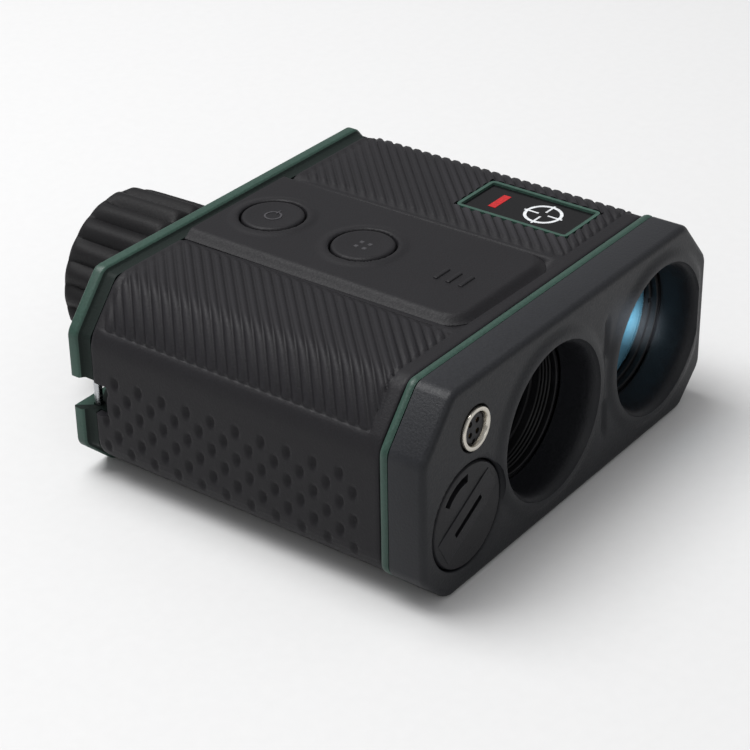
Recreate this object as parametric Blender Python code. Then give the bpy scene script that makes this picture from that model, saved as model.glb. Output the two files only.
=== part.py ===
"""Handheld laser rangefinder: an octagonal rubber-armoured case with two objective
wells, a rear eyepiece, two top buttons, a front battery cap and a data socket.

Sizes are in millimetres and become metres when a mesh or a place is written.
+Z is up, the lenses look along -Y, and the origin is under the middle of the whole.
"""

import math

import bmesh
import bpy
from mathutils import Matrix, Vector

MM = 0.001
GAP = 0.3

# Case section: an octagon, the same along the whole body.
HALF_WIDTH = 45.0
HEIGHT = 39.0
TOP_HALF = 36.8
SIDE_TOP = 29.4
SIDE_LOW = 6.5
BASE_HALF = 38.0

# Stations along the body, front to rear.
RIM_FRONT = -50.8
FACE_FRONT = -50.2
BEZEL_BACK = -43.2
SEAL_FRONT = BEZEL_BACK + GAP
SEAL_BACK = -41.5
ARMOUR_FRONT = SEAL_BACK + GAP
ARMOUR_BACK = 21.9
FRAME_FRONT = ARMOUR_BACK + GAP
BODY_BACK = 27.0
EYECUP_BACK = 50.8

# Walls, counted inwards from the outer skin.
ARMOUR_WALL = 1.9
HOUSING_OUT = ARMOUR_WALL + GAP
HOUSING_IN = HOUSING_OUT + 1.5

# Optics: the aiming channel carries the eyepiece, the receiver stands beside it.
OPTIC_Z = 19.6
AIM_X = -7.3
RECEIVER_X = 27.6
BORE_R = 13.6
RIM_R = 15.6
BARREL_R = 13.3
BARREL_BORE_R = 12.6
LENS_R = 12.3
AIM_LENS_EDGE = -36.6
RECEIVER_LENS_EDGE = -40.2
LENS_EDGE_THICK = 2.0
LENS_SAG = 2.0
RETAINER_R = 11.5

# Eyepiece behind the case.
FLANGE_R = 14.8
EYE_BARREL_R = 12.9
EYE_BORE_R = 11.5
RING_FRONT_R = 16.3
RING_BACK_R = 15.9
RING_BORE_R = 13.3
RING_FRONT = 29.4
RING_BACK = 50.0
CELL_R = 11.2
EYE_LENS_R = 9.5

# Battery channel and its coin-slot cap.
CELL_X = -32.3
CELL_Z = 13.6
CAP_R = 9.6
CAP_HOLE_R = 9.9
TUBE_R = 8.7
TUBE_BORE_R = 8.05
BATTERY_R = 7.8
COIN_SLOT_ANGLE = 29.0

# Data socket.
SOCKET_X = -30.6
SOCKET_Z = 29.7
SOCKET_R = 3.9
PIN_CIRCLE_R = 1.45
PIN_COUNT = 4

# Top: control panel, buttons, name-plate window.
PANEL_LEFT = -18.2
PANEL_RIGHT = 11.8
PANEL_FRONT = -38.4
PANEL_CORNER_R = 6.0
PANEL_TOP = HEIGHT + 0.5
BUTTON_X = -4.4
POWER_BUTTON_Y = 12.7
MODE_BUTTON_Y = -7.9
BUTTON_R = 5.9
BUTTON_FLANGE_R = 6.7
LABEL_WINDOW = ((19.9, -35.0), (32.8, -10.4))
LABEL_BORDER = 1.1

# Strap notch in the rear left corner, with its upright pin.
NOTCH_FLOOR = 14.1
NOTCH_ROOF = 20.6
NOTCH_FRONT = 18.8
NOTCH_DEPTH_X = -36.2
STRAP_PIN_X = -41.5
STRAP_PIN_Y = 23.9
STRAP_PIN_R = 0.75
BLOCK_WALL = 1.5

# Tripod insert in the base, for a quarter-inch thread.
INSERT_Y = 12.0
INSERT_FLANGE_R = 8.0
INSERT_R = 5.2
INSERT_BORE_R = 3.2

# Screws that hold the rear panel, as (x, z).
REAR_SCREWS = ((-36.6, 30.5), (36.6, 30.5), (37.6, 7.4), (-37.6, 7.4))
SCREW_R = 1.2
SCREW_HEAD_R = 2.2

AXES = {
    "X": (Vector((1, 0, 0)), Vector((0, 0, 1))),
    "Y": (Vector((0, 1, 0)), Vector((1, 0, 0))),
    "Z": (Vector((0, 0, 1)), Vector((1, 0, 0))),
}


def clear_scene():
    for obj in list(bpy.data.objects):
        bpy.data.objects.remove(obj)


def material(name, colour, roughness, metallic=0.0):
    made = bpy.data.materials.new(name)
    made.use_nodes = True
    shader = made.node_tree.nodes["Principled BSDF"]
    shader.inputs["Base Color"].default_value = (*colour, 1.0)
    shader.inputs["Roughness"].default_value = roughness
    shader.inputs["Metallic"].default_value = metallic
    return made


# ---------------------------------------------------------------- shapes


def to_object(name, bm, centre, finish, round_edges=False):
    """Turn a bmesh in millimetres into an object that stands at `centre`."""
    bmesh.ops.recalc_face_normals(bm, faces=bm.faces)
    bmesh.ops.scale(bm, vec=(MM, MM, MM), verts=bm.verts)
    mesh = bpy.data.meshes.new(name)
    bm.to_mesh(mesh)
    bm.free()
    if finish:
        mesh.materials.append(finish)
    if round_edges:
        mesh.shade_smooth()
        mesh.set_sharp_from_angle(angle=math.radians(35))
    obj = bpy.data.objects.new(name, mesh)
    obj.location = Vector(centre) * MM
    bpy.context.scene.collection.objects.link(obj)
    return obj


def block(name, low, high, finish=None):
    """A plain box between two corners."""
    low, high = Vector(low), Vector(high)
    bm = bmesh.new()
    bmesh.ops.create_cube(bm, size=1.0)
    bmesh.ops.scale(bm, vec=high - low, verts=bm.verts)
    return to_object(name, bm, (low + high) / 2, finish)


def extruded(name, outline, axis, start, end, finish=None):
    """Push a flat outline along Y (outline in x, z), Z (x, y) or X (y, z)."""
    place = {
        "X": lambda a, b: (start, a, b),
        "Y": lambda a, b: (a, start, b),
        "Z": lambda a, b: (a, b, start),
    }[axis]
    bm = bmesh.new()
    face = bm.faces.new([bm.verts.new(place(a, b)) for a, b in outline])
    pushed = bmesh.ops.extrude_face_region(bm, geom=[face])
    moved = [item for item in pushed["geom"] if isinstance(item, bmesh.types.BMVert)]
    bmesh.ops.translate(bm, vec=AXES[axis][0] * (end - start), verts=moved)
    return to_object(name, bm, (0, 0, 0), finish)


def turned(name, profile, axis, centre, finish=None, steps=36):
    """Spin a profile of (radius, station) points about `axis` through `centre`.

    A profile that starts and ends on the axis makes a solid, any other a ring.
    """
    along, outward = AXES[axis]
    bm = bmesh.new()
    points = [bm.verts.new(outward * radius + along * station) for radius, station in profile]
    edges = [bm.edges.new(pair) for pair in zip(points, points[1:])]
    if profile[0][0] > 0:
        edges.append(bm.edges.new((points[-1], points[0])))
    bmesh.ops.spin(bm, geom=points + edges, cent=(0, 0, 0), axis=along,
                   angle=math.tau, steps=steps, use_merge=True)
    bmesh.ops.remove_doubles(bm, verts=bm.verts, dist=0.001)
    return to_object(name, bm, centre, finish, round_edges=True)


def rod(name, radius, start, end, axis, centre, finish=None, steps=36):
    """A plain round bar."""
    profile = [(0, start), (radius, start), (radius, end), (0, end)]
    return turned(name, profile, axis, centre, finish, steps)


def combine(target, tool, operation):
    """Join `tool` to `target`, or cut it away, and hide the tool."""
    modifier = target.modifiers.new(tool.name, "BOOLEAN")
    modifier.operation = operation
    modifier.solver = "EXACT"
    modifier.object = tool
    tool.hide_render = True
    tool.display_type = "WIRE"


def cut(target, *tools):
    for tool in tools:
        combine(target, tool, "DIFFERENCE")


def join(target, *tools):
    for tool in tools:
        combine(target, tool, "UNION")


def octagon(inset=0.0):
    """Corners (x, z) of the case section with every face moved in by `inset`."""
    corners = [
        Vector((-TOP_HALF, HEIGHT)), Vector((TOP_HALF, HEIGHT)),
        Vector((HALF_WIDTH, SIDE_TOP)), Vector((HALF_WIDTH, SIDE_LOW)),
        Vector((BASE_HALF, 0)), Vector((-BASE_HALF, 0)),
        Vector((-HALF_WIDTH, SIDE_LOW)), Vector((-HALF_WIDTH, SIDE_TOP)),
    ]
    moved = []
    for index, corner in enumerate(corners):
        before = (corner - corners[index - 1]).normalized()
        after = (corners[(index + 1) % len(corners)] - corner).normalized()
        out_before = Vector((-before.y, before.x))
        out_after = Vector((-after.y, after.x))
        shift = (out_before + out_after) / (1 + out_before.dot(out_after))
        moved.append(corner - shift * inset)
    return moved


def case_ring(name, outer, inner, start, end, finish):
    """A length of the octagonal case between two insets."""
    ring = extruded(name, octagon(outer), "Y", start, end, finish)
    cut(ring, extruded(name + "_core", octagon(inner), "Y", start - 1, end + 1))
    return ring


def tongue(grow=0.0, corners=6):
    """Outline (x, y) of the control panel: square at the rear, rounded in front."""
    radius = PANEL_CORNER_R + grow
    left, right = PANEL_LEFT - grow, PANEL_RIGHT + grow
    front = PANEL_FRONT - grow
    back = ARMOUR_BACK + (grow and 1.0)
    outline = [(right, back), (left, back)]
    for centre_x, first in ((left + radius, math.pi), (right - radius, 1.5 * math.pi)):
        for step in range(corners + 1):
            angle = first + step / corners * math.pi / 2
            outline.append((centre_x + radius * math.cos(angle),
                            front + radius + radius * math.sin(angle)))
    return outline


# ---------------------------------------------------------------- case


def strap_notch():
    return block("notch_cutter", (-50, NOTCH_FRONT, NOTCH_FLOOR),
                 (NOTCH_DEPTH_X, BODY_BACK + 1, NOTCH_ROOF))


def make_housing(green):
    housing = case_ring("housing", HOUSING_OUT, HOUSING_IN, SEAL_FRONT, 24.3, green)
    for index, (x, z) in enumerate(REAR_SCREWS, 1):
        join(housing, rod(f"boss_{index}", 2.8, 12.0, 24.3, "Y", (x, 0, z), steps=20))
    for index, (x, z) in enumerate(REAR_SCREWS, 1):
        cut(housing, rod(f"boss_bore_{index}", SCREW_R + GAP, 16.0, 25, "Y", (x, 0, z), steps=16))
    for label, y in (("power", POWER_BUTTON_Y), ("mode", MODE_BUTTON_Y)):
        cut(housing, rod(label + "_well", BUTTON_FLANGE_R + 0.4, 34, 40, "Z", (BUTTON_X, y, 0)))
    slot_low = NOTCH_FLOOR - BLOCK_WALL - GAP
    slot_high = NOTCH_ROOF + BLOCK_WALL + GAP
    cut(housing,
        block("block_slot", (-46, 16.6, slot_low), (-40, 26, slot_high)),
        rod("insert_hole", INSERT_R + GAP, 1, 5, "Z", (0, INSERT_Y, 0), steps=32))


def make_armour(rubber):
    armour = case_ring("armour", 0, ARMOUR_WALL, ARMOUR_FRONT, ARMOUR_BACK, rubber)
    (x0, y0), (x1, y1) = LABEL_WINDOW
    cut(armour,
        extruded("panel_opening", tongue(GAP), "Z", 36, 41),
        block("label_opening", (x0, y0, 36), (x1, y1, 41)),
        rod("insert_opening", INSERT_FLANGE_R + GAP, -1, 3, "Z", (0, INSERT_Y, 0), steps=40),
        strap_notch())


def make_control_panel(smooth_rubber):
    panel = extruded("control_panel", tongue(), "Z", 37.4, PANEL_TOP, smooth_rubber)
    for label, y in (("power", POWER_BUTTON_Y), ("mode", MODE_BUTTON_Y)):
        cut(panel, rod(label + "_opening", BUTTON_R + GAP, 36, 41, "Z", (BUTTON_X, y, 0)))


def make_label_plate(black):
    (x0, y0), (x1, y1) = LABEL_WINDOW
    edge = LABEL_BORDER
    block("label_plate", (x0 + edge, y0 + edge, 37.4), (x1 - edge, y1 - edge, 38.5), black)


def make_front_bezel(black):
    """Front plate with raised lens rims, hollowed from behind except round its holes."""
    bezel = extruded("front_bezel", octagon(), "Y", FACE_FRONT, BEZEL_BACK, black)
    core = extruded("bezel_core", octagon(2.6), "Y", -46.6, BEZEL_BACK + 1)
    for label, x in (("aim", AIM_X), ("receiver", RECEIVER_X)):
        centre = (x, 0, OPTIC_Z)
        join(bezel, rod(label + "_rim", RIM_R, RIM_FRONT, -49.0, "Y", centre))
        cut(bezel, rod(label + "_bore", BORE_R, -52, -40, "Y", centre, steps=44))
        cut(core, rod(label + "_collar", BORE_R + 1.6, -48, -41, "Y", centre, steps=32))
    cap_hole = [(0, -52), (CAP_HOLE_R, -52), (CAP_HOLE_R, -47.7),
                (TUBE_R + GAP, -47.7), (TUBE_R + GAP, -40), (0, -40)]
    socket_hole = [(0, -52), (SOCKET_R + GAP, -52), (SOCKET_R + GAP, -49.0),
                   (3.6, -49.0), (3.6, -40), (0, -40)]
    cut(bezel,
        turned("cap_hole", cap_hole, "Y", (CELL_X, 0, CELL_Z), steps=36),
        turned("socket_hole", socket_hole, "Y", (SOCKET_X, 0, SOCKET_Z), steps=32))
    cut(core, rod("battery_collar", 11.2, -48, -41, "Y", (CELL_X, 0, CELL_Z), steps=40))
    cut(bezel, core)


def make_front_seal(green):
    case_ring("front_seal", 0, ARMOUR_WALL, SEAL_FRONT, SEAL_BACK, green)


def make_rear_frame(green):
    frame = case_ring("rear_frame", 0, ARMOUR_WALL, FRAME_FRONT, BODY_BACK, green)
    low, high = NOTCH_FLOOR - BLOCK_WALL, NOTCH_ROOF + BLOCK_WALL
    inner = NOTCH_DEPTH_X + BLOCK_WALL
    join(frame,
         block("strap_block", (-42.8, 16.9, low), (inner, BODY_BACK, high)),
         block("strap_block_root", (-43.6, FRAME_FRONT, low), (inner, BODY_BACK, high)))
    cut(frame, strap_notch(),
        rod("strap_pin_hole", STRAP_PIN_R + 0.25, 12.9, 21.9, "Z",
            (STRAP_PIN_X, STRAP_PIN_Y, 0), steps=16))


def make_rear_panel(black):
    panel = extruded("rear_panel", octagon(HOUSING_OUT), "Y", 24.6, BODY_BACK, black)
    low, high = NOTCH_FLOOR - BLOCK_WALL - GAP, NOTCH_ROOF + BLOCK_WALL + GAP
    cut(panel,
        block("block_clearance", (-46, 20, low), (NOTCH_DEPTH_X + BLOCK_WALL + GAP, 30, high)),
        rod("eyepiece_hole", EYE_BARREL_R + GAP, 20, 30, "Y", (AIM_X, 0, OPTIC_Z)))
    for index, (x, z) in enumerate(REAR_SCREWS, 1):
        hole = [(0, 20), (SCREW_R + GAP, 20), (SCREW_R + GAP, 25.5),
                (SCREW_HEAD_R + GAP, 25.5), (SCREW_HEAD_R + GAP, 30), (0, 30)]
        cut(panel, turned(f"screw_hole_{index}", hole, "Y", (x, 0, z), steps=16))


def make_rear_screws(steel):
    profile = [(0, 17.0), (SCREW_R, 17.0), (SCREW_R, 25.8),
               (SCREW_HEAD_R, 25.8), (SCREW_HEAD_R, BODY_BACK), (0, BODY_BACK)]
    for index, (x, z) in enumerate(REAR_SCREWS, 1):
        turned(f"rear_screw_{index}", profile, "Y", (x, 0, z), steel, steps=16)


def make_strap_pin(steel):
    rod("strap_pin", STRAP_PIN_R, 13.1, 21.7, "Z", (STRAP_PIN_X, STRAP_PIN_Y, 0), steel, steps=16)


def make_tripod_insert(brass):
    profile = [(INSERT_BORE_R, 0), (INSERT_FLANGE_R, 0), (INSERT_FLANGE_R, 1.6),
               (INSERT_R, 1.6), (INSERT_R, 8.6), (0, 8.6), (0, 7.4), (INSERT_BORE_R, 7.4)]
    ordered = profile[6:] + profile[:6]
    turned("tripod_insert", ordered, "Z", (0, INSERT_Y, 0), brass, steps=32)


# ---------------------------------------------------------------- controls


def make_button(name, y, smooth_rubber):
    profile = [(0, 35.6), (1.5, 35.6), (1.5, 35.9), (BUTTON_FLANGE_R, 35.9),
               (BUTTON_FLANGE_R, 37.0), (BUTTON_R, 37.0), (BUTTON_R, 39.6),
               (BUTTON_R - 0.5, 39.9), (0, 39.9)]
    turned(name, profile, "Z", (BUTTON_X, y, 0), smooth_rubber, steps=32)


def make_keypad(board_green, black, film):
    block("keypad_board", (-13, -15, 32.2), (4, 20, 33.2), board_green)
    for name, y in (("power_switch", POWER_BUTTON_Y), ("mode_switch", MODE_BUTTON_Y)):
        block(name, (BUTTON_X - 3, y - 3, 33.5), (BUTTON_X + 3, y + 3, 34.6), black)
    bend = [(4.3, 32.8), (10.2, 32.8), (10.2, 31.8), (9.9, 31.8), (9.9, 32.5), (4.3, 32.5)]
    extruded("keypad_ribbon", bend, "Y", -2, 6, film)


# ---------------------------------------------------------------- optics


def lens_profile(radius, edge_front, edge_thick, sag, arcs=3):
    """A biconvex lens: a front arc, the ground edge and a rear arc."""
    points = []
    for step in range(arcs + 1):
        share = step / arcs
        points.append((radius * share, edge_front - sag * (1 - share * share)))
    for step in range(arcs, -1, -1):
        share = step / arcs
        points.append((radius * share, edge_front + edge_thick + sag * (1 - share * share)))
    return points


def make_aiming_optics(black, glass):
    centre = (AIM_X, 0, OPTIC_Z)
    ledge = AIM_LENS_EDGE + LENS_EDGE_THICK + GAP
    barrel = [(BARREL_R, SEAL_FRONT), (BARREL_R, -20.3), (BARREL_BORE_R, -20.3),
              (BARREL_BORE_R, ledge + 1.2), (11.3, ledge + 1.2), (11.3, ledge),
              (BARREL_BORE_R, ledge), (BARREL_BORE_R, SEAL_FRONT)]
    turned("objective_barrel", barrel, "Y", centre, black)
    lens = lens_profile(LENS_R, AIM_LENS_EDGE, LENS_EDGE_THICK, LENS_SAG)
    turned("objective_lens", lens, "Y", centre, glass, steps=32)
    make_retainer("objective_retainer", AIM_LENS_EDGE, centre, black)


def make_receiver_optics(black, coated_glass):
    centre = (RECEIVER_X, 0, OPTIC_Z)
    ledge = RECEIVER_LENS_EDGE + LENS_EDGE_THICK + GAP
    barrel = [(BARREL_R, SEAL_FRONT), (BARREL_R, -26.0), (6.4, -9.0), (5.4, -9.0),
              (BARREL_BORE_R - 0.4, -27.0), (11.3, ledge + 1.2), (11.3, ledge),
              (BARREL_BORE_R, ledge), (BARREL_BORE_R, SEAL_FRONT)]
    turned("receiver_barrel", barrel, "Y", centre, black)
    lens = lens_profile(LENS_R, RECEIVER_LENS_EDGE, LENS_EDGE_THICK, LENS_SAG)
    turned("receiver_lens", lens, "Y", centre, coated_glass, steps=32)
    make_retainer("receiver_retainer", RECEIVER_LENS_EDGE, centre, black)


def make_retainer(name, lens_edge, centre, black):
    back = lens_edge - 0.65
    ring = [(RETAINER_R, back - 1.6), (LENS_R, back - 1.6), (LENS_R, back), (RETAINER_R, back)]
    turned(name, ring, "Y", centre, black)


def make_prism(black, glass, display_black):
    roof = [(-19.0, 8.4), (-2.0, 8.4), (3.0, 14.5), (3.0, 29.0), (-11.0, 29.0), (-19.0, 21.0)]
    extruded("erecting_prism", roof, "X", -16.6, 2.0, glass)
    cradle = [(-18.4, 5.9), (3.8, 5.9), (3.8, 27.5), (2.3, 27.5),
              (2.3, 7.4), (-16.9, 7.4), (-16.9, 27.5), (-18.4, 27.5)]
    holder = extruded("prism_holder", cradle, "Y", -19.5, 3.5, black)
    cut(holder, rod("laser_window", 2.0, -20, -15, "X", (0, -8.0, 23.5), steps=20))
    block("display_module", (-15.3, 4.6, 11.0), (0.7, 7.2, 28.2), display_black)


def make_laser_and_detector(brass, steel, board_green):
    laser = [(0, -30.0), (3.4, -30.0), (3.4, -22.0), (2.4, -22.0), (2.4, -18.8), (0, -18.8)]
    turned("laser_module", laser, "X", (0, -8.0, 25.8), brass, steps=24)
    can = [(0, -7.4), (4.1, -7.4), (4.1, -3.2), (4.7, -3.2), (4.7, -2.0), (0, -2.0)]
    turned("detector_module", can, "Y", (RECEIVER_X, 0, OPTIC_Z), steel, steps=32)
    block("detector_board", (RECEIVER_X - 10, -1.7, OPTIC_Z - 10),
          (RECEIVER_X + 10, -0.1, OPTIC_Z + 10), board_green)


def make_chassis(aluminium):
    """The plate that holds both barrels, with a saddle under each."""
    chassis = block("optical_chassis", (-20, -42.6, 4.0), (36.0, 5.0, 5.6), aluminium)
    for label, x in (("aim", AIM_X), ("receiver", RECEIVER_X)):
        join(chassis, block(label + "_saddle", (x - 8, -38, 5.0), (x + 8, -33, 10.5)))
        cut(chassis, rod(label + "_saddle_cut", BARREL_R + GAP, -40, -31, "Y", (x, 0, OPTIC_Z)))


def make_eyepiece(black, ribbed_rubber, soft_rubber, glass):
    centre = (AIM_X, 0, OPTIC_Z)
    barrel = [(EYE_BORE_R, 20.5), (EYE_BARREL_R, 20.5), (EYE_BARREL_R, 27.3), (FLANGE_R, 27.3),
              (FLANGE_R, 29.1), (EYE_BARREL_R, 29.1), (EYE_BARREL_R, 46.3), (EYE_BORE_R, 46.3)]
    turned("eyepiece_barrel", barrel, "Y", centre, black)
    ring = [(RING_BORE_R, RING_FRONT), (RING_FRONT_R, RING_FRONT), (RING_FRONT_R, 34.0),
            (RING_BACK_R, RING_BACK), (RING_BORE_R, RING_BACK)]
    turned("focus_ring", ring, "Y", centre, ribbed_rubber, steps=48)
    cell = [(9.8, 31.2), (CELL_R, 31.2), (CELL_R, 44.6), (9.8, 44.6),
            (9.8, 38.9), (8.6, 38.9), (8.6, 36.9), (9.8, 36.9)]
    turned("lens_cell", cell, "Y", centre, black)
    field = lens_profile(EYE_LENS_R, 33.4, 1.6, 1.2, arcs=2)
    turned("field_lens", field, "Y", centre, glass, steps=28)
    eye = lens_profile(EYE_LENS_R, 40.4, 1.6, 1.2, arcs=2)
    turned("eyepiece_lens", eye, "Y", centre, glass, steps=28)
    cup = [(10.6, 46.9), (13.0, 46.9), (13.0, 50.4), (12.6, EYECUP_BACK), (11.4, EYECUP_BACK),
           (10.6, 50.2)]
    turned("eyecup", cup, "Y", centre, soft_rubber)


# ---------------------------------------------------------------- electronics


def make_boards(board_green, chip_black, steel):
    block("main_board", (9.2, -19, 7), (10.8, 20, 31.5), board_green)
    block("processor_chip", (11.1, -10, 14), (12.5, 2, 26), chip_black)
    block("tilt_sensor", (11.1, 8, 10), (13.0, 13, 15), steel)
    block("power_board", (-37.5, -34, 30.4), (-22.5, -3, 31.8), board_green)


def make_battery(black, label_green, steel):
    centre = (CELL_X, 0, CELL_Z)
    tube = [(0, -10.2), (TUBE_BORE_R, -10.2), (TUBE_BORE_R, -46.6),
            (TUBE_R, -46.6), (TUBE_R, -9.0), (0, -9.0)]
    turned("battery_tube", tube, "Y", centre, black)
    cell = [(0, -42.1), (3.3, -42.1), (3.3, -41.6), (BATTERY_R, -41.6),
            (BATTERY_R, -15.1), (0, -15.1)]
    turned("battery_cell", cell, "Y", centre, label_green, steps=28)
    make_spring(steel)


def make_spring(steel):
    """Conical contact spring between the cell and the closed end of its tube."""
    turns, points, wire = 3.5, 36, 0.35
    start, end = -14.4, -10.9
    wide, narrow = 6.2, 3.2
    curve = bpy.data.curves.new("battery_spring", "CURVE")
    curve.dimensions = "3D"
    curve.bevel_depth = wire * MM
    curve.bevel_resolution = 1
    curve.use_fill_caps = True
    spline = curve.splines.new("POLY")
    spline.points.add(points - 1)
    for index, point in enumerate(spline.points):
        share = index / (points - 1)
        radius = wide + (narrow - wide) * share
        angle = math.tau * turns * share
        place = Vector((radius * math.cos(angle), start + (end - start) * share,
                        radius * math.sin(angle)))
        point.co = (*(place * MM), 1.0)
    curve.materials.append(steel)
    spring = bpy.data.objects.new("battery_spring", curve)
    spring.location = Vector((CELL_X, 0, CELL_Z)) * MM
    bpy.context.scene.collection.objects.link(spring)


def make_battery_cap(black, seal_rubber, steel):
    """Coin-slot cap: a dished disc with a raised grip bar, and a plug that screws in."""
    centre = (CELL_X, 0, CELL_Z)
    disc = [(0, -48.9), (8.2, -48.9), (8.2, FACE_FRONT), (CAP_R, FACE_FRONT),
            (CAP_R, -48.0), (7.75, -48.0), (7.75, -43.3), (0, -43.3)]
    cap = turned("battery_cap", disc, "Y", centre, black)
    turn = Matrix.Rotation(-math.radians(COIN_SLOT_ANGLE), 4, "Y")
    bar = block("grip_bar", (-8.6, -50.5, -3.1), (8.6, -48.5, 3.1))
    slot = block("coin_slot", (-5.6, -52, -0.7), (5.6, -49.3, 0.7))
    for tool in (bar, slot):
        tool.matrix_world = Matrix.Translation(Vector((CELL_X, 0, CELL_Z)) * MM) @ turn @ \
            Matrix.Translation(Vector((0, tool.location.y / MM, 0)) * MM)
    join(cap, bar)
    cut(cap, slot)
    seal = [(8.05, -47.6), (8.55, -47.6), (8.55, -47.0), (8.05, -47.0)]
    turned("cap_seal", seal, "Y", centre, seal_rubber)
    rod("cap_contact", 4.5, -42.9, -42.5, "Y", centre, steel, steps=32)


def make_socket(nickel, black, gold):
    centre = (SOCKET_X, 0, SOCKET_Z)
    shell = [(2.9, -50.7), (SOCKET_R, -50.7), (SOCKET_R, -49.3), (3.3, -49.3),
             (3.3, -41.0), (2.9, -41.0)]
    turned("connector_shell", shell, "Y", centre, nickel, steps=28)
    insert = rod("connector_insert", 2.6, -48.8, -41.5, "Y", centre, black, steps=24)
    for index in range(PIN_COUNT):
        angle = math.radians(45) + math.tau * index / PIN_COUNT
        x = SOCKET_X + PIN_CIRCLE_R * math.cos(angle)
        z = SOCKET_Z + PIN_CIRCLE_R * math.sin(angle)
        cut(insert, rod(f"pin_hole_{index + 1}", 0.62, -52, -40, "Y", (x, 0, z), steps=8))
        rod(f"connector_pin_{index + 1}", 0.34, -50.0, -40.4, "Y", (x, 0, z), gold, steps=8)
    hexagon = [(SOCKET_X + 5.0 * math.cos(math.tau * k / 6),
                SOCKET_Z + 5.0 * math.sin(math.tau * k / 6)) for k in range(6)]
    nut = extruded("connector_nut", hexagon, "Y", -46.3, -44.3, nickel)
    cut(nut, rod("nut_bore", 3.6, -48, -43, "Y", centre, steps=32))


def build():
    clear_scene()
    green = material("green plastic", (0.030, 0.075, 0.060), 0.45)
    rubber = material("ribbed black rubber", (0.028, 0.027, 0.030), 0.70)
    smooth_rubber = material("smooth black rubber", (0.033, 0.032, 0.035), 0.62)
    black = material("black nylon", (0.030, 0.030, 0.033), 0.55)
    soft_rubber = material("soft rubber", (0.022, 0.022, 0.024), 0.75)
    glass = material("coated glass", (0.10, 0.11, 0.13), 0.05)
    blue_glass = material("blue coated glass", (0.03, 0.16, 0.30), 0.05)
    steel = material("stainless steel", (0.62, 0.62, 0.60), 0.30, 1.0)
    nickel = material("nickel plate", (0.72, 0.71, 0.66), 0.25, 1.0)
    brass = material("brass", (0.70, 0.52, 0.22), 0.35, 1.0)
    gold = material("gold plate", (0.83, 0.62, 0.28), 0.25, 1.0)
    aluminium = material("machined aluminium", (0.60, 0.61, 0.62), 0.40, 1.0)
    board_green = material("circuit board", (0.02, 0.14, 0.06), 0.50)
    film = material("ribbon film", (0.45, 0.22, 0.05), 0.40)

    make_housing(green)
    make_armour(rubber)
    make_control_panel(smooth_rubber)
    make_label_plate(black)
    make_front_bezel(black)
    make_front_seal(green)
    make_rear_frame(green)
    make_rear_panel(black)
    make_rear_screws(steel)
    make_strap_pin(steel)
    make_tripod_insert(brass)
    make_button("power_button", POWER_BUTTON_Y, smooth_rubber)
    make_button("mode_button", MODE_BUTTON_Y, smooth_rubber)
    make_keypad(board_green, black, film)
    make_aiming_optics(black, glass)
    make_receiver_optics(black, blue_glass)
    make_prism(black, glass, black)
    make_laser_and_detector(brass, steel, board_green)
    make_chassis(aluminium)
    make_eyepiece(black, rubber, soft_rubber, glass)
    make_boards(board_green, black, steel)
    make_battery(black, green, steel)
    make_battery_cap(black, soft_rubber, steel)
    make_socket(nickel, black, gold)


build()
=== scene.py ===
# %% [markdown]
# # A laser rangefinder in one hand's size
# The real object is a flattened eight-sided body about 90 mm wide, 102 mm long and 40 mm high. A rubber
# armour with diagonal grip ribs and dimpled sides wraps a moulded housing. A bezel with two lens bores,
# a coin-slot battery cap and a round socket closes the front, and a fluted focus ring stands behind.
# The engineering model is loaded first and stays as it is. Everything made here is laid over it, in the
# same place, with the finer shapes and finishes that the eye wants.

# %% Load the engineering model
import math
import bpy
import bmesh
from mathutils import Matrix, Vector


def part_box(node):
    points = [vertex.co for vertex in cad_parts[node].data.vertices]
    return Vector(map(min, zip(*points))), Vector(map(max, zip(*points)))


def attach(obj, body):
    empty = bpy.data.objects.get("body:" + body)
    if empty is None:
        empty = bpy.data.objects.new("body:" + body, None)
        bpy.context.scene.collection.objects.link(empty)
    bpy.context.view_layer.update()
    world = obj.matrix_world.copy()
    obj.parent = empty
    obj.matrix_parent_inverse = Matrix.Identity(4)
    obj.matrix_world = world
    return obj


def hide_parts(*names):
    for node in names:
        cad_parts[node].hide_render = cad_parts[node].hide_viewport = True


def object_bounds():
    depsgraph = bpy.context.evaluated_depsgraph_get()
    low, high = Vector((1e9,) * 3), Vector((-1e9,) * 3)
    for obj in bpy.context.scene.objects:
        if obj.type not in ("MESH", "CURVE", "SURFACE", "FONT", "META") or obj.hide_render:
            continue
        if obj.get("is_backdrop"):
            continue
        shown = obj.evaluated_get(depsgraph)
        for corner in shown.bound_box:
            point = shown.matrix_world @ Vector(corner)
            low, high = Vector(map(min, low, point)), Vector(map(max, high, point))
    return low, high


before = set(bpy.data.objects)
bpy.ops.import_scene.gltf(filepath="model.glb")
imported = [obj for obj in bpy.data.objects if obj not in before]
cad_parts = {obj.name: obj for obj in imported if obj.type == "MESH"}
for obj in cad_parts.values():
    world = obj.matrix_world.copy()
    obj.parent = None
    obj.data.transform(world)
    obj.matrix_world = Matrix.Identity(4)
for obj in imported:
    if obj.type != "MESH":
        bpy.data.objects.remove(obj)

cad_box = [list(corner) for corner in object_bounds()]
scene = bpy.context.scene
print("engineering box, metres:", [[round(c, 4) for c in corner] for corner in cad_box])

# %% [markdown]
# ## Helpers for shapes
# All modelling below is done in millimetres, because that is how the object was measured, and each
# piece is brought to metres at the very end. A few helpers cover nearly everything: copying an
# engineering part and merging its loose triangles, turning a profile as on a lathe, carving one shape
# with another, and handing a finished shape over as a named piece that rides on the right moving body.

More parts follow.
